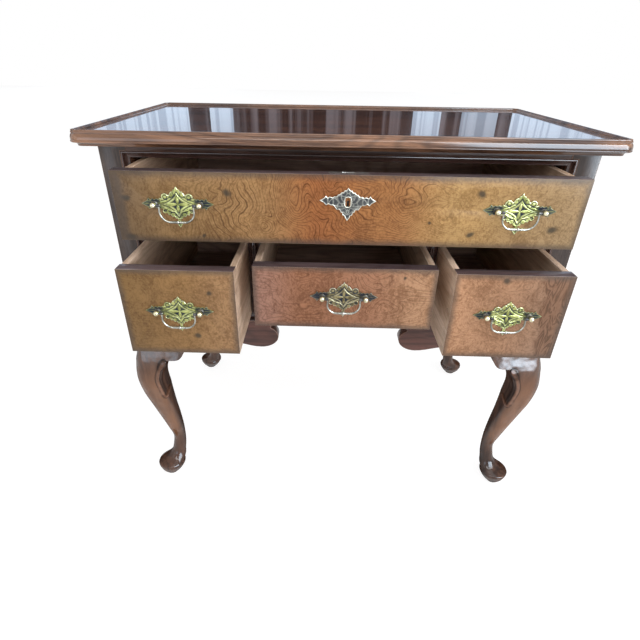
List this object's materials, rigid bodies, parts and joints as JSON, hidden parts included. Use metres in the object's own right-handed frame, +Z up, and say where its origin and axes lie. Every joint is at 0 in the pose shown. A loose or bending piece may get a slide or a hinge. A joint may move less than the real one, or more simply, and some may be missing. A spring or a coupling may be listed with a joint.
{
  "type": "lowboy",
  "caption": "Low side table in walnut on carved cabriole legs, with a moulded tray top, a wide drawer over a row of short ones, brass bail handles and a shaped, arched apron.",
  "frame": {"origin": "on the floor, at the middle of the bounding box with the drawers as they stand open", "axes": "+X to the right of someone facing the drawer fronts, +Y from the fronts to the back, +Z up"},
  "size_m": [0.8228, 0.5882, 0.739],
  "materials": {
    "walnut": "dark walnut, french polished",
    "burl_walnut": "figured walnut drawer fronts, polished",
    "oak": "bare oak, aged and waxed",
    "brass": "cast brass, engraved and darkened with age",
    "silvered_brass": "cast brass worn to a grey tone",
    "iron": "filed iron"
  },
  "bodies": {
    "case": {"top_board": "walnut", "tray_rim": "walnut", "leg_front_left": "walnut", "leg_front_right": "walnut", "leg_back_left": "walnut", "leg_back_right": "walnut", "knee_blocks": "walnut", "side_panel_left": "walnut", "side_panel_right": "walnut", "back_panel": "oak", "top_rail": "walnut", "middle_rail": "walnut", "front_apron": "walnut", "lower_rails": "oak", "divider_left": "walnut", "divider_right": "walnut", "opening_mouldings": "walnut", "partition_left": "oak", "partition_right": "oak", "runners": "oak", "guides": "oak", "drawer_stops": "oak", "top_cleats": "oak"},
    "top_drawer": {"top_front": "burl_walnut", "top_sides": "oak", "top_back": "oak", "top_bottom": "oak", "top_plates": "brass", "top_posts": "brass", "top_nuts": "brass", "escutcheon": "silvered_brass", "lock_case": "iron"},
    "top_bail_left": {"top_bail_left": "brass"},
    "top_bail_right": {"top_bail_right": "brass"},
    "lock_bolt": {"lock_bolt": "iron"},
    "left_drawer": {"left_front": "burl_walnut", "left_sides": "oak", "left_back": "oak", "left_bottom": "oak", "left_plate": "brass", "left_posts": "brass", "left_nuts": "brass"},
    "left_bail": {"left_bail": "brass"},
    "centre_drawer": {"centre_front": "burl_walnut", "centre_sides": "oak", "centre_back": "oak", "centre_bottom": "oak", "centre_plate": "brass", "centre_posts": "brass", "centre_nuts": "brass"},
    "centre_bail": {"centre_bail": "brass"},
    "right_drawer": {"right_front": "burl_walnut", "right_sides": "oak", "right_back": "oak", "right_bottom": "oak", "right_plate": "brass", "right_posts": "brass", "right_nuts": "brass"},
    "right_bail": {"right_bail": "brass"}
  },
  "joints": [
    {"name": "top_drawer_slide", "type": "slide", "parent": "case", "child": "top_drawer", "axis": [0, -1, 0], "range_m": [-0.0883, 0.2117]},
    {"name": "top_bail_left_swing", "type": "hinge", "parent": "top_drawer", "child": "top_bail_left", "pos_m": [-0.2435, -0.2458, 0.64902], "axis": [-1, 0, 0], "range_deg": [0, 150]},
    {"name": "top_bail_right_swing", "type": "hinge", "parent": "top_drawer", "child": "top_bail_right", "pos_m": [0.2435, -0.2458, 0.64902], "axis": [-1, 0, 0], "range_deg": [0, 150]},
    {"name": "left_drawer_slide", "type": "slide", "parent": "case", "child": "left_drawer", "axis": [0, -1, 0], "range_m": [-0.1323, 0.1677]},
    {"name": "left_bail_swing", "type": "hinge", "parent": "left_drawer", "child": "left_bail", "pos_m": [-0.2487, -0.2898, 0.498], "axis": [-1, 0, 0], "range_deg": [0, 150]},
    {"name": "centre_drawer_slide", "type": "slide", "parent": "case", "child": "centre_drawer", "axis": [0, -1, 0], "range_m": [-0.1104, 0.1896]},
    {"name": "centre_bail_swing", "type": "hinge", "parent": "centre_drawer", "child": "centre_bail", "pos_m": [0, -0.2679, 0.51752], "axis": [-1, 0, 0], "range_deg": [0, 150]},
    {"name": "right_drawer_slide", "type": "slide", "parent": "case", "child": "right_drawer", "axis": [0, -1, 0], "range_m": [-0.1229, 0.1771]},
    {"name": "right_bail_swing", "type": "hinge", "parent": "right_drawer", "child": "right_bail", "pos_m": [0.2487, -0.2804, 0.498], "axis": [-1, 0, 0], "range_deg": [0, 150]},
    {"name": "lock_bolt_slide", "type": "slide", "parent": "top_drawer", "child": "lock_bolt", "axis": [0, 0, 1], "range_m": [0, 0.007]}
  ]
}
